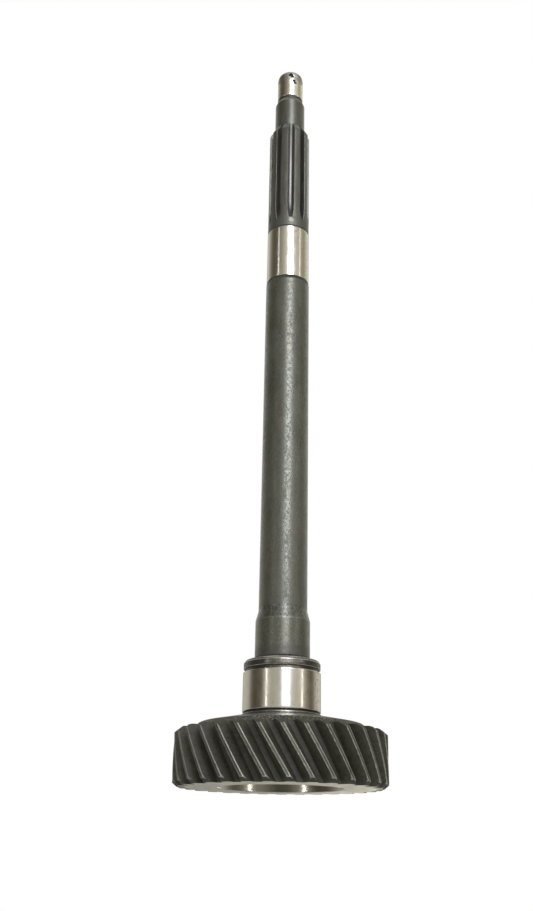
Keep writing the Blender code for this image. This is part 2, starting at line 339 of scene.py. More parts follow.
# %% The tooth's own geometry
HELIX_SLOPE = math.tan(HELIX_ANGLE) / PITCH_RADIUS
TRANSVERSE_ANGLE = math.atan(math.tan(NORMAL_PRESSURE_ANGLE) / math.cos(HELIX_ANGLE))
BASE_RADIUS = PITCH_RADIUS * math.cos(TRANSVERSE_ANGLE)
TOOTH_PITCH = 2 * math.pi / TEETH
FLANK_STEPS = 7
LAND_EDGE = 0.16
LAND_HELPER = 0.3
FLANK_HELPER = 0.5
ROOT_SHARE = 0.9
# Negative corner values give the gaps dirt and painted shade.
GAP_DIRT_AND_SHADE, FILLET_DIRT_AND_SHADE, FLANK_WEAR = -0.5, -0.6, 0.7


def roll(radius):
    """Involute of the pressure angle at a radius."""
    angle = math.acos(min(1.0, BASE_RADIUS / radius))
    return math.tan(angle) - angle


def half_tooth(radius):
    """Half the angle that a tooth takes up at a radius."""
    return TOP_LAND / 2 / TIP_RADIUS + roll(TIP_RADIUS) - roll(radius)


def blank_radius(z):
    """Radius of the blank at a height, less at its two chamfers."""
    from_end = min(z, GEAR_WIDTH - z)
    return TIP_RADIUS - GEAR_CHAMFER_DEPTH * max(0.0, 1 - from_end / GEAR_CHAMFER_LENGTH)


def tooth_row(z):
    """Half a tooth at one height, from the middle of the gap to the middle of the top land."""
    top = blank_radius(z)
    fillet_top = ROOT_RADIUS + ROOT_FILLET
    gap = TOOTH_PITCH / 2
    foot = half_tooth(fillet_top)
    root = min(gap * ROOT_SHARE, foot + ROOT_FILLET / ROOT_RADIUS)
    row = [(ROOT_RADIUS, gap, 0.0), (ROOT_RADIUS, root, GAP_DIRT_AND_SHADE)]
    for turn in (30, 60):
        s, c = math.sin(math.radians(turn)), math.cos(math.radians(turn))
        row.append((fillet_top - ROOT_FILLET * c, root + (foot - root) * s, FILLET_DIRT_AND_SHADE))
    below_edge = top - LAND_EDGE
    for i in range(FLANK_STEPS):
        radius = fillet_top + (below_edge - FLANK_HELPER - fillet_top) * i / (FLANK_STEPS - 1)
        row.append((radius, half_tooth(radius), 0.0))
    row.append((below_edge, half_tooth(below_edge), FLANK_WEAR))
    edge = half_tooth(top) - LAND_EDGE / top
    row += [(top, edge, 1.0), (top, edge - LAND_HELPER / top, 0.0), (top, 0.0, 0.0)]
    return row


# %% Helpers for grids that repeat round the axis
def grid_piece(name, rows):
    """Grid primitive whose points are laid on rows of (x, y, z, corner), row by row."""
    bpy.ops.object.select_all(action="DESELECT")
    across, up = len(rows[0]), len(rows)
    bpy.ops.mesh.primitive_grid_add(x_subdivisions=across - 1, y_subdivisions=up - 1, size=1)
    piece = bpy.context.object
    piece.name = piece.data.name = name
    flat = np.array(rows, np.float32).reshape(-1, 4)
    piece.data.vertices.foreach_set("co", (flat[:, :3] * MM).ravel())
    set_corners(piece, flat[:, 3])
    return piece


def repeat_round(piece, count):
    """Copies the piece's faces round the axis, with the Spin tool's duplicates."""
    bpy.ops.object.mode_set(mode="EDIT")
    spin(count - 1, 2 * math.pi * (count - 1) / count, copies=True)


def whole_row(half, turn, z, first_side=1.0):
    """Row of (x, y, z, corner) from a half row, mirrored about its last point."""
    sides = [(r, -a, c * first_side if c > 0 else c) for r, a, c in half]
    sides += [(r, a, c) for r, a, c in reversed(half[:-1])]
    return [(r * math.cos(turn + a), r * math.sin(turn + a), z, c) for r, a, c in sides]


# %% One tooth as a grid, then thirty more round the axis
HELIX_STEPS = 14
RIM_EDGE = 0.3
END_EDGE = 0.4
CHAMFER_CORNER = 0.2
COAST_EDGE = 0.72
TIP_ZONE = 1.0
BARELY_CUT = 0.05


def gear_heights():
    start, end = GEAR_CHAMFER_LENGTH, GEAR_WIDTH - GEAR_CHAMFER_LENGTH
    first, last = start + RIM_EDGE, end - RIM_EDGE
    body = [first + (last - first) * i / HELIX_STEPS for i in range(HELIX_STEPS + 1)]
    rear = [0.0, END_EDGE, start - RIM_EDGE, start]
    return rear + body + [end, end + RIM_EDGE, GEAR_WIDTH - END_EDGE, GEAR_WIDTH]


def end_wear(z):
    """Extra corner value of a tooth's tip where the rear chamfer meets the top land."""
    return max(0.0, 1 - abs(z - GEAR_CHAMFER_LENGTH) / (2 * RIM_EDGE))


def gear_rows():
    rows = []
    for z in gear_heights():
        tip = blank_radius(z) - TIP_ZONE
        share = CHAMFER_CORNER if blank_radius(z) < TIP_RADIUS - BARELY_CUT else 1.0
        half = [(r, a, min(1.0, c * share + end_wear(z) * (r > tip))) for r, a, c in tooth_row(z)]
        rows.append(whole_row(half, FIRST_TOOTH - HELIX_SLOPE * z, z, COAST_EDGE))
    return rows


gear = grid_piece("gear_teeth", gear_rows())
repeat_round(gear, TEETH)
print("gear teeth:", len(gear.data.polygons), "faces")

# %% [markdown]
# ## Splines
# The clutch disc slides on ten splines whose teeth have parallel sides. A hob cuts the grooves
# too, and where it lifts off it leaves a run-out: the floor climbs in an arc and the groove gets
# narrower, because the cutter's tip is narrower than its body. The same grid method serves, with
# one pitch of the spline from land to land.

# %% The groove's own geometry
SPLINE_PITCH = 2 * math.pi / SPLINE_TEETH
WALL_EDGE = 0.16
WALL_HELPER = 0.035
FLOOR_FILLET = 0.3
FILLET_SHARE = 0.3
# Negative corner values give the grooves dirt and painted shade.
RIM_WEAR, WALL_DIRT_AND_SHADE, FLOOR_DIRT_AND_SHADE = 0.7, -0.4, -0.8
MOST_TIP_DIRT_AND_SHADE, TIP_DIRT_AND_SHADE_RISE = 0.9, 2.5
HALF_POINTS = SPIN_STEPS // SPLINE_TEETH // 2
LEAST_STEP = 0.003


def lift_at(z):
    """How much of its depth the groove has lost at a height, 0 to 1."""
    share = min(1.0, max(0.0, (GROOVE_FULL - z) / SPLINE_RUN_OUT))
    return share ** 2


def land_radius(z):
    """Outer radius of the splines at a height, less at their end chamfer."""
    share = min(1.0, max(0.0, (z - LAND_TOP) / SPLINE_CHAMFER_LENGTH))
    return SPLINE_RADIUS + (SPLINE_ROOT - SPLINE_RADIUS) * share


def mouth_angle(radius):
    """Half angle of a full groove at a radius, beside teeth with parallel sides."""
    return SPLINE_PITCH / 2 - math.asin(SPLINE_TOOTH_WIDTH / 2 / radius)


def plain_row(z):
    """Half a pitch without a groove, with its points spread evenly."""
    half = SPLINE_PITCH / 2
    return [(land_radius(z), half * (1 - i / HALF_POINTS), 0.0) for i in range(HALF_POINTS + 1)]


def groove_row(z):
    """Half a pitch at one height, from the middle of a land to the middle of the groove."""
    top = land_radius(z)
    depth = 1 - lift_at(z)
    floor = top - (top - SPLINE_ROOT) * depth
    tip_width = SPLINE_ROOT * math.sin(mouth_angle(SPLINE_ROOT))
    mouth_width = top * math.sin(mouth_angle(top))
    mouth = math.asin((tip_width + (mouth_width - tip_width) * depth) / top)
    corner = math.asin(tip_width / floor)
    height = top - floor
    edge = min(WALL_EDGE, FILLET_SHARE * height)
    fillet = min(FLOOR_FILLET, FILLET_SHARE * height)
    rim = max(0.0, 1 - abs(z - LAND_TOP) / CORNER_REACH) * RIM_WEAR
    half = SPLINE_PITCH / 2
    row = [(top, mouth + (half - mouth) * share, rim) for share in (1, 0.6, 0.3)]
    row += [(top, mouth + WALL_HELPER, rim), (top, mouth + edge / top, 1.0)]
    slope = (mouth - corner) / height if height > 0.01 else 0.0
    row.append((top - edge, mouth - slope * edge, 0.6))
    row.append((top - height * 0.5, mouth - slope * height * 0.5, WALL_DIRT_AND_SHADE))
    row.append((floor + fillet, corner + slope * fillet, -1.0))
    row.append((floor + fillet * 0.25, corner - 0.3 * fillet / floor, -1.0))
    row.append((floor, corner - fillet / floor, FLOOR_DIRT_AND_SHADE))
    row.append((floor, 0.0, -min(MOST_TIP_DIRT_AND_SHADE, TIP_DIRT_AND_SHADE_RISE * lift_at(z))))
    return keep_apart(row)


def keep_apart(row):
    """Moves points that a shallow groove would lay on one spot a little apart."""
    apart = [row[-1]]
    for radius, angle, corner in reversed(row[:-1]):
        apart.append((radius, max(angle, apart[-1][1] + LEAST_STEP), corner))
    return apart[::-1]


# %% One groove as a grid, then nine more
RUN_OUT_STEPS, FULL_STEPS, CHAMFER_STEPS = 12, 4, 8
SAME_HEIGHT = 0.1


def even_heights(start, length, steps, first=0):
    return [start + length * i / steps for i in range(first, steps + 1)]


def spline_heights():
    foot = [SPLINE_FOOT, SPLINE_FOOT + CORNER_REACH, GROOVE_TIP - 0.3]
    run_out = even_heights(GROOVE_TIP, SPLINE_RUN_OUT, RUN_OUT_STEPS)
    full = even_heights(GROOVE_FULL, SPLINE_LENGTH, FULL_STEPS, first=1)[:-1]
    chamfer = even_heights(LAND_TOP, SPLINE_CHAMFER_LENGTH, CHAMFER_STEPS)
    neck = [NECK_FOOT + 0.6, NECK_CHAMFER_FOOT - 6.0, NOSE_JOIN]
    return foot + run_out + full + [LAND_TOP - CORNER_REACH] + chamfer + neck


def spline_rows():
    rows = []
    for z in spline_heights():
        grooved = GROOVE_TIP - SAME_HEIGHT < z < NECK_FOOT + SAME_HEIGHT
        half = groove_row(z) if grooved else plain_row(z)
        rows.append(whole_row(half, FIRST_GROOVE, z))
    return rows


splines = grid_piece("splines", spline_rows())
repeat_round(splines, SPLINE_TEETH)
print("splines:", len(splines.data.polygons), "faces")

# %% [markdown]
# ## One skin
# The five sheets are one forging, so they become one closed mesh. Every ring of points was
# started at the same angle, so the round stretches merge with the splines point for point. The
# two flat rings between the toothed outline and the round profiles are filled, because Fill
# handles a face with a hole. Normals are recalculated once the skin is closed.

# %% Join the sheets, fill the flat rings and close the skin
FLAT_LEAST_RADIUS = WEB_FOOT_RADIUS - 1
SAME_LEVEL = 0.02
SMOOTH_ANGLE = math.radians(30)


def select_flat_edges(mesh, height):
    """Selects the open edges of the gear's flat face at a height, in mm."""
    bm = bmesh.from_edit_mesh(mesh)
    bpy.ops.mesh.select_all(action="DESELECT")
    chosen = 0
    for edge in bm.edges:
        level = all(abs(v.co.z / MM - height) < SAME_LEVEL for v in edge.verts)
        outer = all(math.hypot(v.co.x, v.co.y) / MM > FLAT_LEAST_RADIUS for v in edge.verts)
        if edge.is_boundary and level and outer:
            edge.select_set(True)
            chosen += 1
    bmesh.update_edit_mesh(mesh)
    return chosen


bpy.ops.object.select_all(action="DESELECT")
for piece in (pocket, stem, nose, gear, splines):
    piece.select_set(True)
bpy.context.view_layer.objects.active = gear
bpy.ops.object.join()
shaft = gear
shaft.name = shaft.data.name = "finished_shaft"
bpy.ops.object.mode_set(mode="EDIT")
bpy.ops.mesh.select_mode(type="EDGE")
for height in (0.0, GEAR_WIDTH):
    edges = select_flat_edges(shaft.data, height)
    bpy.ops.mesh.fill(use_beauty=True)
    print("flat ring at", height, "filled from", edges, "edges")
weld(outward=True)
bpy.ops.object.shade_smooth_by_angle(angle=SMOOTH_ANGLE)


# %% Measure the closed skin
def skin_report(mesh):
    bm = bmesh.new()
    bm.from_mesh(mesh)
    loose = sum(not edge.is_manifold for edge in bm.edges)
    volume = bm.calc_volume() / MM ** 3 / 1000
    bm.free()
    return loose, volume


loose, volume = skin_report(shaft.data)
print(f"{len(shaft.data.polygons)} faces, {loose} open edges, {volume:.2f} cm3")

# %% [markdown]
# ## Finishes
# Every stretch of the shaft was left by another tool. The forging was blackened by heat
# treatment, then only the bearing journal, the clutch seat and the bore were ground. The marks
# all run round the axis, so the patterns use a place on the shaft: its radius, its height and
# the way round. Object coordinates give that, and they stay put when the part is moved.

# %% Helpers for node trees
def feed(socket, value):
    """Links an input to another node's socket, or gives it a plain value or colour."""
    if isinstance(value, bpy.types.NodeSocket):
        socket.id_data.links.new(value, socket)
    else:
        socket.default_value = (*value, 1.0) if socket.type == "RGBA" else value


def add(tree, kind, inputs=(), **settings):
    """New node with its settings and its inputs."""
    made = tree.nodes.new(kind)
    for name, value in settings.items():
        setattr(made, name, value)
    for key, value in dict(inputs).items():
        feed(made.inputs[key], value)
    return made


def maths(operation, *values):
    """Math node, in the tree that its first linked value belongs to."""
    tree = next(v for v in values if isinstance(v, bpy.types.NodeSocket)).id_data
    return add(tree, "ShaderNodeMath", dict(enumerate(values)), operation=operation).outputs[0]


plus, minus, times, over, larger = (partial(maths, operation) for operation in (
    "ADD", "SUBTRACT", "MULTIPLY", "DIVIDE", "MAXIMUM"))


# %% Helpers for masks
def smooth(value, low, high, to_low=0.0, to_high=1.0):
    """Smooth step from one value to another, as a Map Range node."""
    made = add(value.id_data, "ShaderNodeMapRange", {
        "Value": value, "From Min": low, "From Max": high, "To Min": to_low, "To Max": to_high},
        interpolation_type="SMOOTHSTEP")
    return made.outputs["Result"]


def between(value, start, full, still_full, end):
    """Mask that rises from start to full, and falls again from still_full to end."""
    return times(smooth(value, start, full), smooth(value, end, still_full))


def away(value, middle):
    """How far a value is from a middle, on either side."""
    return maths("ABSOLUTE", minus(value, middle))


def add_up(value, *parts):
    """A value with a share of each mask added to it."""
    for mask, share in parts:
        value = plus(value, times(mask, share))
    return value


def noise(vector, scale, detail, roughness=0.5, distortion=0.0):
    """Value of a noise texture, around 0.5."""
    return add(vector.id_data, "ShaderNodeTexNoise", {
        "Vector": vector, "Scale": scale, "Detail": detail, "Roughness": roughness,
        "Distortion": distortion}).outputs["Fac"]


def split(vector):
    """The x, y and z of a vector."""
    return add(vector.id_data, "ShaderNodeSeparateXYZ", {0: vector}).outputs


# %% Helpers for colours
def blend(share, a, b):
    """Colour mix from a to b."""
    return add(share.id_data, "ShaderNodeMix", {0: share, 6: a, 7: b}, data_type="RGBA").outputs[2]


def paint(colour, *layers):
    """Lays stains, wear and dirt on a colour one by one, each by a share of its mask."""
    for mask, share, over_it in layers:
        colour = blend(times(mask, share), colour, over_it)
    return colour


# %% Helpers for node groups
def new_group(name, **dials):
    """Shader node group with float inputs and their first values. Gives its tree and inputs."""
    tree = bpy.data.node_groups.new(name, "ShaderNodeTree")
    for label, value in dials.items():
        tree.interface.new_socket(label, in_out="INPUT",
                                  socket_type="NodeSocketFloat").default_value = value
    return tree, tree.nodes.new("NodeGroupInput").outputs


def give_out(tree, **values):
    """Ends a group with one output for each named value."""
    for label, value in values.items():
        kind = "NodeSocketVector" if value.type == "VECTOR" else "NodeSocketFloat"
        tree.interface.new_socket(label, in_out="OUTPUT", socket_type=kind)
    out = tree.nodes.new("NodeGroupOutput")
    for label, value in values.items():
        feed(out.inputs[label], value)
    print("group:", tree.name)
    return tree


def use(tree, group, **dials):
    """Places a group in a tree and gives its outputs."""
    return add(tree, "ShaderNodeGroup", dials, node_tree=group).outputs


# %% Group: place on the shaft, in millimetres
tree, _ = new_group("place_on_shaft")
coordinates = add(tree, "ShaderNodeTexCoord").outputs["Object"]
point = add(tree, "ShaderNodeVectorMath", {0: coordinates, 1: (1 / MM, 1 / MM, 1 / MM)},
            operation="MULTIPLY").outputs[0]
x, y, z = split(point)
PLACE = give_out(tree, Radius=maths("SQRT", plus(times(x, x), times(y, y))), Height=z,
                 Around=maths("ARCTAN2", x, times(y, -1.0)), Point=point)

# %% [markdown]
# ### Turning and grinding marks
# A tool that feeds along a turning shaft leaves fine rings, and a grinding wheel leaves finer
# ones with broken lengths. Noise squeezed along the axis gives both: it changes fast with the
# height and slowly round the shaft. Real rings could be modelled, but they'd be far too fine.

# %% Group: rings round the axis, with so many per millimetre
tree, dial = new_group("machining_rings", Density=3.0, Breaks=0.05)
place = use(tree, PLACE)
x, y, _ = split(place["Point"])
squeezed = add(tree, "ShaderNodeCombineXYZ", {
    0: times(x, dial["Breaks"]), 1: times(y, dial["Breaks"]),
    2: times(plus(place["Height"], place["Radius"]), dial["Density"])}).outputs[0]
RINGS = give_out(tree, Height=noise(squeezed, 1.0, 3.0, 0.6))

# %% [markdown]
# ### Stains, pits and corners
# Oil, heat and damp leave patches with a soft edge, which noise gives once it's cut off at a
# level. Pits are the middles of Voronoi cells, some wider than others. Corners read the value
# that the profile and the teeth gave to their points: high ones are rubbed bright, low ones hold
# dirt and painted shade, and noise breaks both up, since a clean outline round every corner would
# look drawn.

# %% Group: patches of stain, oil and thin rust
tree, dial = new_group("stain_patches", Size=8.0, Stretch=1.0, Cover=0.5, Softness=0.12, Seed=0.0)
x, y, z = split(use(tree, PLACE)["Point"])
stretched = add(tree, "ShaderNodeCombineXYZ", {
    0: plus(x, dial["Seed"]), 1: y, 2: over(z, dial["Stretch"])}).outputs[0]
cloud = noise(stretched, over(1.0, dial["Size"]), 5.0, 0.62, distortion=0.4)
middle = minus(1.0, dial["Cover"])
PATCHES = give_out(tree, Mask=smooth(cloud, minus(middle, dial["Softness"]),
                                     plus(middle, dial["Softness"])))

# %% Group: small pits
tree, dial = new_group("pits", Size=0.8, Amount=0.3)
cells = add(tree, "ShaderNodeTexVoronoi", {
    "Vector": use(tree, PLACE)["Point"], "Scale": over(1.0, dial["Size"])}, feature="F1").outputs
reach = times(cells["Color"], dial["Amount"])
PITS = give_out(tree, Mask=smooth(minus(reach, cells["Distance"]), 0.0, 0.12))

# %% Group: corners, rubbed bright outside, with dirt and painted shade inside
tree, dial = new_group("corners", Amount=0.7, Grain=1.2)
corner = add(tree, "ShaderNodeAttribute", attribute_name="corner").outputs["Fac"]
uneven = times(noise(use(tree, PLACE)["Point"], over(1.0, dial["Grain"]), 4.0, 0.7), 0.9)
start = minus(1.75, dial["Amount"])
CORNERS = give_out(tree, Rubbed=smooth(plus(corner, uneven), start, plus(start, 0.35)),
                   # The inner-corner output darkens inner corners: dirt, and painted shade.
                   Grime=smooth(minus(uneven, corner), 0.55, 1.1))

# %% Helpers for the finishes
BARE_STEEL = (0.56, 0.54, 0.51)
RUST = (0.165, 0.105, 0.060)
# The dark colour paints real dirt and pits, and also painted shade in corners, grooves and sides.
DIRT_AND_SHADE = (0.030, 0.027, 0.021)
# The old grease colour paints grease together with painted shade in the shoulders' inner corners.
GREASE_AND_SHADE = (0.052, 0.048, 0.038)
SHEEN_ROUGHNESS = 0.3
FINISHES = {}


def new_finish(name, metallic, specular=0.5, anisotropic=0.0, sheen=0.0):
    """Node tree and shader of a new material. A brushed one's tangent runs round the shaft."""
    material = FINISHES[name] = bpy.data.materials.new(name)
    material.use_nodes = True
    tree = material.node_tree
    shader = tree.nodes["Principled BSDF"]
    feed(shader.inputs["Metallic"], metallic)
    feed(shader.inputs["Specular IOR Level"], specular)
    feed(shader.inputs["Anisotropic"], anisotropic)
    if sheen:
        feed(shader.inputs["Sheen Weight"], sheen)
        feed(shader.inputs["Sheen Roughness"], SHEEN_ROUGHNESS)
    if anisotropic:
        tangent = add(tree, "ShaderNodeTangent", direction_type="RADIAL", axis="Z")
        feed(shader.inputs["Tangent"], tangent.outputs[0])
    print("finish:", name)
    return tree, shader


def dress(shader, relief, strength, depth_mm, **looks):
    """Feeds a shader its looks and its relief. Depth is what a relief of 1 stands for."""
    for label, value in looks.items():
        feed(shader.inputs[label.replace("_", " ")], value)
    bump = add(shader.id_data, "ShaderNodeBump", {"Strength": strength, "Height": relief,
                                                  "Distance": depth_mm * MM})
    feed(shader.inputs["Normal"], bump.outputs[0])


def patch(tree, size, cover, seed=0.0, stretch=1.0, softness=0.12):
    """Mask of patches of a size in mm that cover a share of the steel."""
    return use(tree, PATCHES, Size=size, Stretch=stretch, Cover=cover, Softness=softness,
               Seed=seed)["Mask"]


# %% [markdown]
# ### Blackened stem
# Heat treatment and years in oil leave the stem dark, olive and half glossy. It's mostly oxide,
# so the window shows as one soft neutral streak on a nearly matt ground. Turning rings, fine
# grain and thin brown tints break the streak. Sheen stands for a thin film of dry oil, which
# greys the stem toward its sides. Its lower part is painted paler, and a dark line of painted
# shade marks its top edge, where the seat's groove lies. The taper is fretted: mottled by frosted
# and dark specks, with a thin bright line where it begins. The neck below is smoother, and oil
# sits at its foot.

# %% Blackened stem: patches and grain
tree, shader = new_finish("blackened_stem", metallic=0.3, specular=0.9, anisotropic=0.2,
                          sheen=0.9)
place = use(tree, PLACE)
height = place["Height"]
grey = patch(tree, 7.0, 0.48, stretch=2.5, softness=0.16)
deep = patch(tree, 3.5, 0.42, seed=40.0, stretch=2.0)
brown = patch(tree, 10.0, 0.38, seed=95.0, stretch=2.5)
mottle = patch(tree, 1.3, 0.5, seed=17.0, softness=0.06)
fine = patch(tree, 1.6, 0.5, seed=7.0, stretch=1.3, softness=0.1)
rust = patch(tree, 1.4, 0.30, seed=63.0, softness=0.04)
pits = use(tree, PITS, Size=1.5, Amount=0.26)["Mask"]
corners = use(tree, CORNERS, Amount=0.5, Grain=1.5)
rings = use(tree, RINGS, Density=1.5, Breaks=0.06)["Height"]
grain = noise(place["Point"], 0.7, 4.0, 0.65)

# %% Blackened stem: stretches of its length
FRETTED_LENGTH = 7.6
fretted_top = NECK_TOP + FRETTED_LENGTH
fretted = between(height, NECK_TOP + 0.2, NECK_TOP + 0.9, fretted_top - 1.2, fretted_top)
frosted = times(fretted, minus(1.0, mottle))
speckled = times(fretted, mottle)
line = smooth(away(height, NECK_TOP), 0.45, 0.1)
on_neck = smooth(height, NECK_TOP + 0.2, NECK_TOP - 0.2)
# The stem is painted paler toward its lower part.
paler_low = smooth(height, STEM_FOOT + 0.6 * STEM_LENGTH, STEM_FOOT + 0.2 * STEM_LENGTH)
oily_foot = smooth(height, COLLAR_TOP + 9.0, COLLAR_TOP + 5.0)
# Dirt and painted shade in the fillet above the collar.
fillet_dirt_and_shade = between(height, COLLAR_TOP + 0.6, COLLAR_TOP + 0.9, COLLAR_TOP + 1.5,
                      COLLAR_TOP + 2.1)
# Painted shade: a dark band at the stem's top edge, where the seat's groove lies.
painted_groove_shade = smooth(height, STEM_TOP - 1.1, STEM_TOP - 0.7)

# %% Blackened stem: colour, gloss and relief
SOOT = (0.038, 0.039, 0.028)
# Inner corners of the stem get dirt and painted shade.
colour = paint(
    (0.060, 0.063, 0.038), (grey, 0.75, (0.108, 0.116, 0.088)), (deep, 0.65, SOOT),
    (fine, 0.3, SOOT), (paler_low, 0.4, (0.105, 0.110, 0.086)),
    (on_neck, 0.4, (0.115, 0.120, 0.090)), (brown, 0.36, RUST),
    (rust, 0.6, (0.20, 0.13, 0.075)), (pits, 0.6, DIRT_AND_SHADE), (frosted, 0.35, (0.16, 0.17, 0.15)),
    (speckled, 0.7, (0.022, 0.021, 0.016)), (line, 0.35, (0.22, 0.22, 0.20)),
    (oily_foot, 0.45, DIRT_AND_SHADE), (fillet_dirt_and_shade, 0.9, DIRT_AND_SHADE), (corners["Grime"], 0.8, DIRT_AND_SHADE),
    (corners["Rubbed"], 0.6, BARE_STEEL), (painted_groove_shade, 0.9, DIRT_AND_SHADE))
roughness = add_up(smooth(plus(deep, fine), 0.0, 1.6, 0.32, 0.53), (on_neck, -0.09),
                   (frosted, -0.12), (oily_foot, 0.10), (larger(fillet_dirt_and_shade, painted_groove_shade), 0.5))
turning = times(plus(times(rings, 0.25), times(grain, 1.3)), minus(1.0, times(on_neck, 0.88)))
relief = minus(turning, plus(pits, plus(times(speckled, 0.25), rust)))
dress(shader, relief, 0.9, 0.05, Base_Color=colour, Roughness=roughness)

# %% [markdown]
# ### Gear teeth
# The teeth were hardened after cutting and never ground here, so gaps and flanks are matt,
# nearly black and blotched. Only the top lands were turned, and their sharp edges are polished
# by handling, more in some places than in others and least toward the left. One material serves
# both, because the radius alone tells a land from a flank.

# %% Finish: gear teeth
LEFT_SIDE = -1.15
tree, shader = new_finish("gear_teeth", metallic=0.0, specular=0.35)
place = use(tree, PLACE)
stain = patch(tree, 5.0, 0.45)
mottle = patch(tree, 1.8, 0.46, seed=48.0, softness=0.10)
brown = patch(tree, 6.0, 0.36, seed=30.0)
pits = use(tree, PITS, Size=1.2, Amount=0.22)["Mask"]
corners = use(tree, CORNERS, Amount=0.95, Grain=1.6)
grain = noise(place["Point"], 1.6, 3.0)
kept = smooth(away(place["Around"], LEFT_SIDE), 0.45, 1.0, 0.35, 1.0)
uneven = smooth(patch(tree, 8.0, 0.60, seed=71.0), 0.0, 1.0, 0.45, 1.0)
rubbed = times(corners["Rubbed"], times(kept, uneven))
land = smooth(place["Radius"], TIP_RADIUS - 0.35, TIP_RADIUS - 0.12)
gap = paint((0.078, 0.076, 0.054), (stain, 0.6, (0.051, 0.051, 0.036)),
            (mottle, 0.5, (0.031, 0.031, 0.022)), (brown, 0.3, (0.088, 0.066, 0.040)))
top = blend(stain, (0.104, 0.104, 0.080), (0.068, 0.067, 0.050))
# Roots and fillets of the gaps get dirt and painted shade.
colour = paint(blend(land, gap, top), (pits, 0.5, DIRT_AND_SHADE), (corners["Grime"], 0.5, DIRT_AND_SHADE),
               (rubbed, 0.85, BARE_STEEL))
bare = larger(times(land, 0.4), times(rubbed, 0.6))
dress(shader, minus(times(grain, 0.6), pits), 0.5, 0.03, Base_Color=colour, Metallic=bare,
      Roughness=smooth(bare, 0.0, 0.6, 0.6, 0.46))

# %% [markdown]
# ### Turned shoulders
# The web, the hub, the ring groove and the collar were only turned, then stained by oil. They
# keep tool rings, with glints painted on toward the front, bare steel on the corners, and old
# grease with painted shade in every inner corner, less of it at the front. The collar is banded
# by coarse rings, painted darker at its sides as shade, and has a painted highlight along the
# front of its top edge.

# %% Finish: turned shoulders
def turned_shoulder(name, base, dark, roughness, glint_paint=0.0, side_shade=0.0, bands=0.0):
    tree, shader = new_finish(name, metallic=0.9, specular=0.4, anisotropic=0.3)
    place = use(tree, PLACE)
    stain = patch(tree, 4.0, 0.5, seed=12.0)
    brown = patch(tree, 6.0, 0.38, seed=71.0)
    pits = use(tree, PITS, Size=1.1, Amount=0.26)["Mask"]
    corners = use(tree, CORNERS, Amount=0.62, Grain=1.4)
    rings = use(tree, RINGS, Density=3.2, Breaks=0.08)["Height"]
    coarse = smooth(use(tree, RINGS, Density=1.2, Breaks=0.03)["Height"], 0.56, 0.44)
    from_middle = away(place["Around"], 0.08)
    at_front = smooth(from_middle, 1.0, 0.3)
    patchy = add_up(from_middle, (patch(tree, 3.0, 0.5, seed=5.0), 0.3))
    # Painted shade: the sides, turned away from the front, are painted darker.
    painted_side_shade = times(smooth(patchy, 0.50, 0.80), smooth(from_middle, 2.0, 1.5))
    # Painted highlights: small glints toward the front.
    painted_glints = times(patch(tree, 0.9, 0.42, seed=29.0, softness=0.04), at_front)
    # Dirt and painted shade in inner corners, lighter at the front.
    dirt_and_shade = times(corners["Grime"], minus(0.95, times(at_front, 0.35)))
    # Painted highlight along the front of the collar's top edge.
    painted_top_highlight = times(at_front, smooth(place["Height"], COLLAR_TOP - 0.75, COLLAR_TOP - 0.45))
    colour = paint(base, (stain, 0.8, dark), (coarse, bands, dark), (brown, 0.3, RUST),
                   (painted_side_shade, side_shade, DIRT_AND_SHADE), (pits, 0.7, DIRT_AND_SHADE),
                   (painted_glints, glint_paint, (0.42, 0.42, 0.39)), (dirt_and_shade, 1.0, GREASE_AND_SHADE),
                   (corners["Rubbed"], 0.6, BARE_STEEL), (painted_top_highlight, 0.8, BARE_STEEL))
    dirt_and_side_shade = larger(dirt_and_shade, times(painted_side_shade, side_shade))
    dress(shader, minus(times(rings, 0.8), pits), 0.5, 0.03, Base_Color=colour,
          Metallic=smooth(dirt_and_side_shade, 0.0, 1.0, 0.9, 0.25),
          Roughness=smooth(stain, 0.0, 1.0, roughness, roughness + 0.10))


turned_shoulder("turned_web", (0.095, 0.093, 0.078), (0.062, 0.061, 0.050), 0.44, glint_paint=0.9)
turned_shoulder("turned_collar", (0.20, 0.195, 0.17), (0.075, 0.072, 0.058), 0.26,
                side_shade=0.82, bands=0.7)

# %% [markdown]
# ### Splines
# The spline teeth are cooler and greyer than the stem, because the clutch disc has burnished
# them. It slides along them, so they have long light scratches and dark streaks. Grooves have
# dirt and painted shade at the corners, are stained where the hob ran out and have a painted
# highlight along the floor. Below them the bare foot is rougher, with one painted highlight at
# its front. Dirt fills the undercut below the nose.

# %% Splines: patches, scratches and stretches
tree, shader = new_finish("spline_steel", metallic=0.55, anisotropic=0.15, sheen=0.4)
place = use(tree, PLACE)
height, radius = place["Height"], place["Radius"]
grey = patch(tree, 4.0, 0.48, stretch=3.0, softness=0.16)
deep = patch(tree, 2.5, 0.40, seed=55.0, stretch=2.5)
on_splines = smooth(height, NECK_FOOT, LAND_TOP)
scratches = times(on_splines, patch(tree, 0.8, 0.40, seed=21.0, stretch=16.0, softness=0.07))
streaks = times(on_splines, patch(tree, 1.0, 0.42, seed=77.0, stretch=12.0, softness=0.07))
pits = use(tree, PITS, Size=1.2, Amount=0.24)["Mask"]
corners = use(tree, CORNERS, Amount=0.42, Grain=1.0)
rings = use(tree, RINGS, Density=2.5, Breaks=0.08)["Height"]
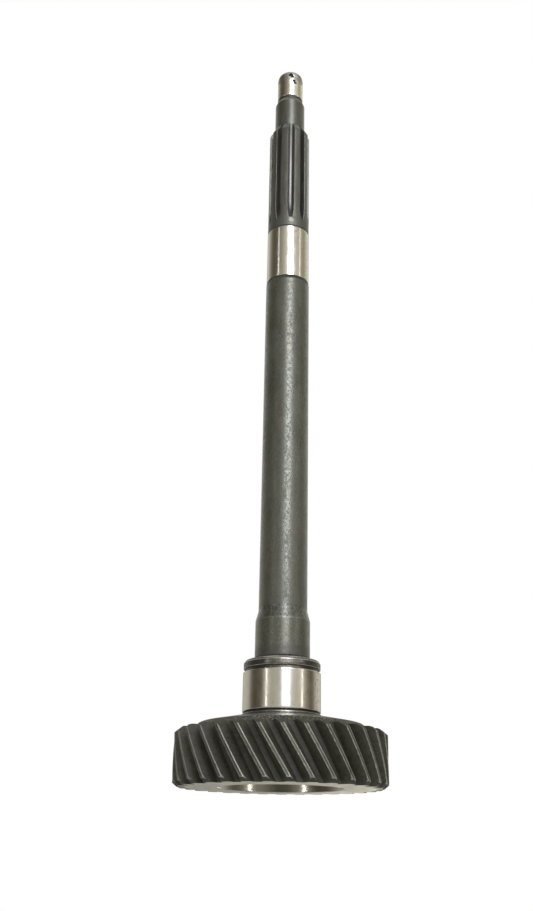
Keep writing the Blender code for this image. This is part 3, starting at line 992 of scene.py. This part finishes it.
# Painted highlight: a light strip along the groove floors.
painted_floor_highlight = times(smooth(radius, SPLINE_ROOT + 1.0, SPLINE_ROOT + 0.3), between(
    height, GROOVE_FULL - 2.0, GROOVE_FULL + 4.0, LAND_TOP - 32.0, LAND_TOP - 4.0))
tip_stain = times(smooth(height, GROOVE_TIP + 8.5, GROOVE_TIP + 5.0),
                  smooth(radius, SPLINE_RADIUS - 0.1, SPLINE_RADIUS - 0.5))
stained = larger(tip_stain, smooth(height, NOSE_FOOT - 0.1, NOSE_FOOT + 0.2))
bare_foot = smooth(height, GROOVE_TIP + 4.0, GROOVE_TIP - 1.0)
# Painted highlight: one light spot on the bare foot, at its front.
spot = times(between(place["Around"], -0.02, 0.06, 0.22, 0.32), between(
    height, GROOVE_TIP - 4.0, GROOVE_TIP - 3.0, GROOVE_TIP - 1.0, GROOVE_TIP - 0.3))
painted_foot_highlight = times(spot, patch(tree, 1.4, 0.60, seed=5.0))

# %% Splines: colour, gloss and relief
colour = paint(
    (0.094, 0.097, 0.080), (grey, 0.5, (0.145, 0.150, 0.130)),
    (deep, 0.4, (0.068, 0.070, 0.060)), (scratches, 0.35, (0.21, 0.21, 0.195)),
    (streaks, 0.4, (0.050, 0.050, 0.040)), (painted_floor_highlight, 0.45, (0.32, 0.32, 0.29)),
    (pits, 0.5, DIRT_AND_SHADE), (corners["Grime"], 0.75, DIRT_AND_SHADE), (stained, 0.8, DIRT_AND_SHADE),
    (painted_foot_highlight, 0.45, (0.34, 0.33, 0.29)), (corners["Rubbed"], 0.6, BARE_STEEL))
not_oxide = larger(larger(corners["Grime"], corners["Rubbed"]), stained)
roughness = add_up(smooth(deep, 0.0, 1.0, 0.34, 0.44), (bare_foot, 0.13), (stained, 0.2))
dress(shader, minus(times(rings, 0.4), pits), 0.5, 0.03, Base_Color=colour,
      Roughness=roughness, Metallic=smooth(not_oxide, 0.0, 1.0, 0.55, 0.25))

# %% [markdown]
# ### Ground steel
# The bearing journal and the clutch seat were ground to size, so they mirror the room in long
# stripes. Fine scratches run round them, with a few rust specks toward the right-hand side. The
# gear's rear face was faced on the lathe and is duller, and the bore is a little darker.

# %% Finish: ground steel
RIGHT_SIDE = 1.25


def ground(name, base, rough=(0.10, 0.2), anisotropic=0.5, specks=0.8):
    tree, shader = new_finish(name, metallic=1.0, anisotropic=anisotropic)
    haze = patch(tree, 6.0, 0.5, stretch=1.6, softness=0.2)
    brown = patch(tree, 3.5, 0.36, seed=60.0, stretch=1.5, softness=0.08)
    at_right = smooth(away(use(tree, PLACE)["Around"], RIGHT_SIDE), 0.5, 0.15)
    rust = times(patch(tree, 1.3, 0.40, seed=83.0, softness=0.05), at_right)
    pits = use(tree, PITS, Size=1.8, Amount=0.16)["Mask"]
    rings = use(tree, RINGS, Density=5.0, Breaks=0.12)["Height"]
    colour = paint(base, (brown, 0.5, (0.40, 0.33, 0.26)), (rust, specks, (0.20, 0.15, 0.10)),
                   (pits, 0.7, (0.12, 0.09, 0.06)))
    dress(shader, minus(times(rings, 0.5), pits), 0.25, 0.008, Base_Color=colour,
          Roughness=smooth(plus(haze, rings), 0.3, 1.5, *rough))


ground("ground_journal", BARE_STEEL)
ground("faced_end", (0.38, 0.36, 0.31), rough=(0.3, 0.42), anisotropic=0.3, specks=0.3)
ground("bore", (0.50, 0.48, 0.42), rough=(0.10, 0.18), specks=0.3)

# %% [markdown]
# ### Nose
# The pilot nose runs in a small bearing. It's bare and bright, with its right side painted
# lighter and a painted highlight band right of the middle, a brown stain on the left, a fine
# mottle all over and dull blotches on the dome. Each of the two dark nicks near its tip is a
# pair of spots frayed by noise.

# %% Nose: stains, wear and nicks
NICKS = [((0.2, -8.2, 449.3), 1.5), ((1.1, -8.1, 448.3), 1.2), ((2.4, -7.8, 444.6), 1.2),
         ((3.1, -7.6, 443.3), 1.2)]
tree, shader = new_finish("worn_nose", metallic=1.0, anisotropic=0.3)
place = use(tree, PLACE)
around = place["Around"]
haze = patch(tree, 2.2, 0.5, softness=0.15)
pits = use(tree, PITS, Size=1.1, Amount=0.3)["Mask"]
# Dirt and painted shade in the nose's inner corners.
dirt_and_shade = use(tree, CORNERS, Amount=0.6, Grain=1.0)["Grime"]
rings = use(tree, RINGS, Density=4.0, Breaks=0.15)["Height"]
# Painted light: the right side is painted lighter, with a painted highlight band right of the
# middle.
right = smooth(around, 0.25, 0.6)
painted_highlight_band = between(around, 0.05, 0.25, 0.6, 0.78)
mottle = patch(tree, 0.9, 0.46, seed=12.0, softness=0.09)
stained = times(patch(tree, 5.0, 0.60, seed=60.0, softness=0.15), smooth(around, 0.0, -0.6))
on_dome = smooth(place["Height"], NOSE_TOP - 9.5, NOSE_TOP - 7.5)
dulled = times(on_dome, patch(tree, 1.5, 0.66, seed=31.0, softness=0.08))
fray = times(noise(place["Point"], 1.2, 3.0), 1.6)
spots = []
for centre, reach in NICKS:
    distance = add(tree, "ShaderNodeVectorMath", {0: place["Point"], 1: centre},
                   operation="DISTANCE").outputs["Value"]
    spots.append(smooth(plus(distance, fray), reach + 0.9, reach + 0.6))
nicks = reduce(larger, spots)
print(len(spots), "spots make the two nicks")

# %% Nose: colour, gloss and relief
colour = paint(
    (0.60, 0.58, 0.54), (haze, 0.5, (0.40, 0.38, 0.33)), (right, 0.3, (0.86, 0.85, 0.79)),
    (painted_highlight_band, 0.6, (0.92, 0.91, 0.86)), (mottle, 0.35, (0.34, 0.32, 0.27)),
    (stained, 0.5, (0.30, 0.23, 0.155)), (dulled, 0.65, (0.20, 0.19, 0.165)),
    (pits, 0.7, DIRT_AND_SHADE), (dirt_and_shade, 0.9, DIRT_AND_SHADE), (nicks, 0.92, DIRT_AND_SHADE))
roughness = add_up(smooth(haze, 0.0, 1.0, 0.19, 0.30), (larger(nicks, times(pits, 0.6)), 0.6),
                   (dulled, 0.15))
dress(shader, minus(times(rings, 0.5), plus(pits, nicks)), 0.4, 0.02, Base_Color=colour,
      Roughness=roughness)

# %% [markdown]
# ### Where each finish goes
# A turner would name the stretches from the gear up, and so does this list. A face's own middle
# tells which stretch it belongs to, which needs no picking by hand.

# %% Give each face its finish by its place
SAME_FACE = 0.01
FOOT_MARGIN = 0.1
GROUND_SKIN = 0.25


def finish_at(radius, z):
    if z < POCKET_DEPTH + SAME_FACE and radius < POCKET_RADIUS + POCKET_LEAD_DEPTH:
        return "bore"
    if z < SAME_FACE:
        return "faced_end"
    if z <= GEAR_WIDTH + SAME_FACE:
        return "gear_teeth"
    if JOURNAL_FOOT - FOOT_MARGIN < z < JOURNAL_TOP and radius > JOURNAL_RADIUS - GROUND_SKIN:
        return "ground_journal"
    if SEAT_FOOT < z < SEAT_TOP and radius > SEAT_RADIUS - GROUND_SKIN:
        return "ground_journal"
    if z > NOSE_FOOT + NOSE_UNDERCUT_WIDTH:
        return "worn_nose"
    if z < GEAR_WIDTH + WEB_RISE:
        return "turned_web"
    if z < COLLAR_TOP + SAME_FACE:
        return "turned_collar"
    return "blackened_stem" if z < SEAT_FOOT else "spline_steel"


shaft.data.materials.clear()
for material in FINISHES.values():
    shaft.data.materials.append(material)
names = list(FINISHES)
counts = dict.fromkeys(names, 0)
for face in shaft.data.polygons:
    x, y, z = (value / MM for value in face.center)
    name = finish_at(math.hypot(x, y), z)
    face.material_index = names.index(name)
    counts[name] += 1
print("faces:", counts)

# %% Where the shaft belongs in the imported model
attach(shaft, "root")
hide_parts("clutch_shaft")

# %% [markdown]
# ## Camera
# The photograph looks along the shaft from its gear end, at a small angle. With the shaft
# standing on its gear, that is a camera a little below the gear that looks up. Its place was
# fitted to the shaft's edges, shoulders and ellipses in the photograph.

# %% The photograph's camera
IMAGE_HEIGHT = 911
FOCAL_PIXELS = 976.2
SHIFT_PIXELS = -18.65, 0.5
CAMERA_PLACE = 0, -0.5124, -0.03096
LOOK_UP = math.radians(22.28)
ROLL = math.radians(0.818)
SENSOR = 36.0
NEAREST = 0.01
QUARTER_TURN = math.radians(90)


def turned_to(*turns):
    """Euler angles of rotations about named axes, the last one done first."""
    aim = reduce(lambda a, b: a @ b, (Matrix.Rotation(angle, 3, axis) for angle, axis in turns))
    return aim.to_euler()


def put_in_scene(name, data):
    """New object that holds a camera or a lamp."""
    made = bpy.data.objects.new(name, data)
    bpy.context.scene.collection.objects.link(made)
    return made


camera = put_in_scene("camera", bpy.data.cameras.new("camera"))
bpy.context.scene.camera = camera
camera.data.sensor_width = SENSOR
camera.data.lens = FOCAL_PIXELS / IMAGE_HEIGHT * SENSOR
camera.data.shift_x, camera.data.shift_y = (shift / IMAGE_HEIGHT for shift in SHIFT_PIXELS)
camera.data.clip_start = NEAREST
camera.location = CAMERA_PLACE
camera.rotation_euler = turned_to((QUARTER_TURN + LOOK_UP, "X"), (ROLL, "Z"))
print(f"lens {camera.data.lens:.2f} mm")

# %% [markdown]
# ## Floor
# The camera looks from below the floor's level, so the floor is a pale disc that shows its upper
# side only, with a round hole just under the gear. The hole lets light reach the rear face and
# is hidden by the gear from above. Close round the hole the floor lets short rays through, or
# the gear's rear edge would sit on its own reflection. The disc fades out at its rim.

# %% Pale floor with a hole under the gear
FLOOR_LEVEL = -0.0001
FLOOR_HOLE = 0.0474
FLOOR_RADIUS = 1.6
grow = FLOOR_RADIUS / FLOOR_HOLE
bpy.ops.object.select_all(action="DESELECT")
bpy.ops.mesh.primitive_circle_add(vertices=128, radius=FLOOR_HOLE, location=(0, 0, FLOOR_LEVEL))
floor = bpy.context.object
floor.name = floor.data.name = "floor"
bpy.ops.object.transform_apply(location=True)
bpy.ops.object.mode_set(mode="EDIT")
bpy.ops.mesh.select_all(action="SELECT")
bpy.ops.mesh.extrude_edges_move()
bpy.ops.transform.resize(value=(grow, grow, 1))
bpy.ops.mesh.select_all(action="SELECT")
bpy.ops.mesh.normals_make_consistent(inside=False)
bpy.ops.object.mode_set(mode="OBJECT")
if floor.data.polygons[0].normal.z < 0:
    floor.data.flip_normals()
print("floor normal:", tuple(round(v, 3) for v in floor.data.polygons[0].normal))

# %% Floor paint, clear at the rim, from below and to short rays
FADE_START, FADE_END = 0.7, 1.55
SHORT_RAY = 0.002
PALE = (0.86, 0.86, 0.84)
floor_paint = bpy.data.materials.new("pale_floor")
floor_paint.use_nodes = True
tree = floor_paint.node_tree
shader = tree.nodes["Principled BSDF"]
feed(shader.inputs["Base Color"], PALE)
feed(shader.inputs["Roughness"], 0.6)
point = add(tree, "ShaderNodeTexCoord").outputs["Object"]
distance = add(tree, "ShaderNodeVectorMath", {0: point}, operation="LENGTH").outputs["Value"]
behind = add(tree, "ShaderNodeNewGeometry").outputs["Backfacing"]
rays = add(tree, "ShaderNodeLightPath").outputs
short = times(minus(1.0, rays["Is Camera Ray"]), maths("LESS_THAN", rays["Ray Length"], SHORT_RAY))
see_through = larger(larger(smooth(distance, FADE_START, FADE_END), behind), short)
mixed = add(tree, "ShaderNodeMixShader", {0: see_through, 1: shader.outputs[0],
                                          2: add(tree, "ShaderNodeBsdfTransparent").outputs[0]})
feed(tree.nodes["Material Output"].inputs["Surface"], mixed.outputs[0])
floor.data.materials.append(floor_paint)

# %% [markdown]
# ## The room and its lamps
# Polished steel shows whatever stands round it, so the room matters more than the lamps. The
# photograph's journals show a wide bright window in panes, two thin lights on each side of it,
# pale walls and dark corners. The world gives the walls by compass direction, to reflections
# only: one set at eye level, one higher up, one below the horizon for the bore, then a dark
# cornice and a pale ceiling. Behind the shaft the first two are alike, and the same to left and
# right. The camera sees plain white, and matt surfaces see an even level.

# %% The room, in rows of a compass angle, red, green and blue
BACK = [(-180, 0.80, 0.80, 0.76), (-166, 0.78, 0.78, 0.74), (-162, 0.45, 0.44, 0.38)]
OTHER_BACK = [(-angle, *colour) for angle, *colour in reversed(BACK)]
EYE_LEVEL = BACK + [
    (-154, 0.50, 0.49, 0.42), (-148, 0.72, 0.71, 0.60), (-116, 0.64, 0.63, 0.53),
    (-98, 0.17, 0.155, 0.11), (-84, 0.105, 0.089, 0.060), (-62, 0.16, 0.140, 0.10),
    (-45, 0.78, 0.75, 0.62), (-30, 0.56, 0.55, 0.44), (-8, 0.64, 0.62, 0.52),
    (30, 0.88, 0.86, 0.76), (42, 0.70, 0.67, 0.54), (60, 0.90, 0.86, 0.72),
    (78, 0.30, 0.26, 0.185), (94, 0.15, 0.128, 0.083), (104, 0.28, 0.26, 0.20),
    (118, 0.68, 0.65, 0.54), (148, 0.86, 0.84, 0.77), (154, 0.50, 0.49, 0.42)] + OTHER_BACK
HIGHER = BACK + [
    (-154, 0.60, 0.59, 0.52), (-143, 0.92, 0.91, 0.82), (-116, 0.46, 0.45, 0.36),
    (-97, 0.18, 0.165, 0.12), (-81, 0.125, 0.107, 0.067), (-62, 0.148, 0.13, 0.09),
    (-48, 0.30, 0.27, 0.20), (-29, 0.50, 0.47, 0.36), (-12, 0.78, 0.74, 0.62),
    (30, 1.05, 1.02, 0.92), (42, 0.80, 0.76, 0.64), (60, 0.74, 0.70, 0.56),
    (81, 0.50, 0.45, 0.33), (97, 0.44, 0.40, 0.28), (116, 0.76, 0.73, 0.54),
    (146, 1.05, 1.03, 0.90), (154, 0.60, 0.59, 0.52)] + OTHER_BACK
BELOW = [
    (-180, 0.46, 0.46, 0.40), (-176, 0.64, 0.63, 0.56), (-168, 0.66, 0.65, 0.58),
    (-135, 0.45, 0.44, 0.38), (-100, 0.13, 0.12, 0.10), (-77, 0.08, 0.076, 0.064),
    (-62, 0.13, 0.125, 0.10), (-50, 0.27, 0.26, 0.22), (-30, 0.25, 0.24, 0.20),
    (-15, 0.11, 0.105, 0.088), (5, 0.090, 0.086, 0.074), (19, 0.17, 0.165, 0.14),
    (34, 0.27, 0.26, 0.225), (48, 0.31, 0.30, 0.26), (66, 0.36, 0.35, 0.30),
    (84, 0.18, 0.175, 0.15), (100, 0.13, 0.12, 0.10), (135, 0.60, 0.59, 0.53),
    (168, 1.75, 1.72, 1.50), (175, 1.40, 1.37, 1.20), (180, 0.46, 0.46, 0.40)]
BELOW_TO_EYE = (-0.08, 0.0)
EYE_TO_HIGHER = (0.22, 0.36)
CORNICE = (0.12, 0.115, 0.095)
CEILING = (0.92, 0.91, 0.88)
FAR_BELOW = (0.13, 0.12, 0.10)
BANDS = [(0.71, 0.77, CORNICE), (0.85, 0.90, CEILING), (-0.45, -0.75, FAR_BELOW)]
WHITE = (1, 1, 1)
DIFFUSE_LEVEL = 0.62
print("room stops:", len(EYE_LEVEL), "at eye level,", len(HIGHER), "higher,", len(BELOW), "below")


# %% The world
def walls(share, table):
    """Colour ramp round the compass, from -180 degrees to 180."""
    ramp = add(share.id_data, "ShaderNodeValToRGB", {"Fac": share})
    stops = ramp.color_ramp.elements
    for angle, *_ in table[1:-1]:
        stops.new((angle + 180) / 360)
    for stop, (angle, *colour) in zip(stops, table):
        stop.position = (angle + 180) / 360
        stop.color = (*colour, 1)
    return ramp.outputs[0]


world = bpy.context.scene.world = bpy.data.worlds.new("room")
world.use_nodes = True
tree = world.node_tree
x, y, up = split(add(tree, "ShaderNodeTexCoord").outputs["Generated"])
share = plus(over(maths("ARCTAN2", x, times(y, -1.0)), 2 * math.pi), 0.5)
colour = blend(smooth(up, *EYE_TO_HIGHER), walls(share, EYE_LEVEL), walls(share, HIGHER))
colour = blend(smooth(up, *BELOW_TO_EYE), walls(share, BELOW), colour)
for start, full, band in BANDS:
    colour = blend(smooth(up, start, full), colour, band)
room, plain, white = (
    add(tree, "ShaderNodeBackground", {"Color": shade, "Strength": strength}).outputs[0]
    for shade, strength in ((colour, 1.0), (WHITE, DIFFUSE_LEVEL), (WHITE, 1.0)))
rays = add(tree, "ShaderNodeLightPath").outputs
shiny = larger(rays["Is Glossy Ray"], rays["Is Transmission Ray"])
unseen = add(tree, "ShaderNodeMixShader", {0: shiny, 1: plain, 2: room}).outputs[0]
seen = add(tree, "ShaderNodeMixShader", {0: rays["Is Camera Ray"], 1: unseen, 2: white})
feed(tree.nodes["World Output"].inputs["Surface"], seen.outputs[0])


# %% [markdown]
# ### Lamps
# Each lamp is an upright panel that faces the shaft. The window's three panes and the thin
# strips on each side of it are there for reflections only. Two low strips, below the floor's
# level, give the bore its highlights. A soft key from the front right and a panel behind give
# the matt surfaces their shade, and don't show in polished steel.

# %% Soft lamps
def soft_lamp(name, compass_angle, width, low, high, radiance, distance=1.5):
    """Upright area lamp round the shaft that faces the axis, from one height to another."""
    lamp = put_in_scene(name, bpy.data.lights.new(name, "AREA"))
    height = high - low
    lamp.data.shape = "RECTANGLE"
    lamp.data.size, lamp.data.size_y = width, height
    lamp.data.energy = radiance * math.pi * width * height
    lamp.visible_camera = False
    angle = math.radians(compass_angle)
    lamp.location = (distance * math.sin(angle), -distance * math.cos(angle), (low + high) / 2)
    lamp.rotation_euler = turned_to((angle, "Z"), (QUARTER_TURN, "X"))
    return lamp


WINDOW_TINT = (0.97, 0.99, 1.07)
mirrored = [
    soft_lamp("window_foot", 11.7, 0.62, 0.2, 0.5, 2.2),
    soft_lamp("window", 14, 0.64, 0.5, 1.35, 11.5),
    soft_lamp("window_top", 14, 0.62, 1.35, 2.6, 5.5),
    soft_lamp("left_strip", -45.5, 0.07, 0.2, 0.7, 3.2),
    soft_lamp("left_strip_top", -52.5, 0.07, 0.7, 1.4, 3.8),
    soft_lamp("right_strip", 61, 0.08, 0.2, 0.7, 2.5),
    soft_lamp("right_strip_top", 69, 0.08, 0.7, 1.4, 2.8),
    soft_lamp("left_low_strip", -47, 0.06, -1.1, -0.15, 10.0),
    soft_lamp("right_low_strip", 61, 0.06, -1.1, -0.15, 10.0),
]
for lamp in mirrored:
    lamp.visible_diffuse = False
    lamp.data.color = WINDOW_TINT if "window" in lamp.name else WHITE
for lamp in (soft_lamp("soft_key", 38, 1.0, 0.5, 1.5, 1.1, distance=1.4),
             soft_lamp("soft_back", -158, 1.0, 0.5, 1.5, 1.8, distance=1.6)):
    lamp.visible_glossy = False

# %% Plain view transform
bpy.context.scene.view_settings.view_transform = "Standard"
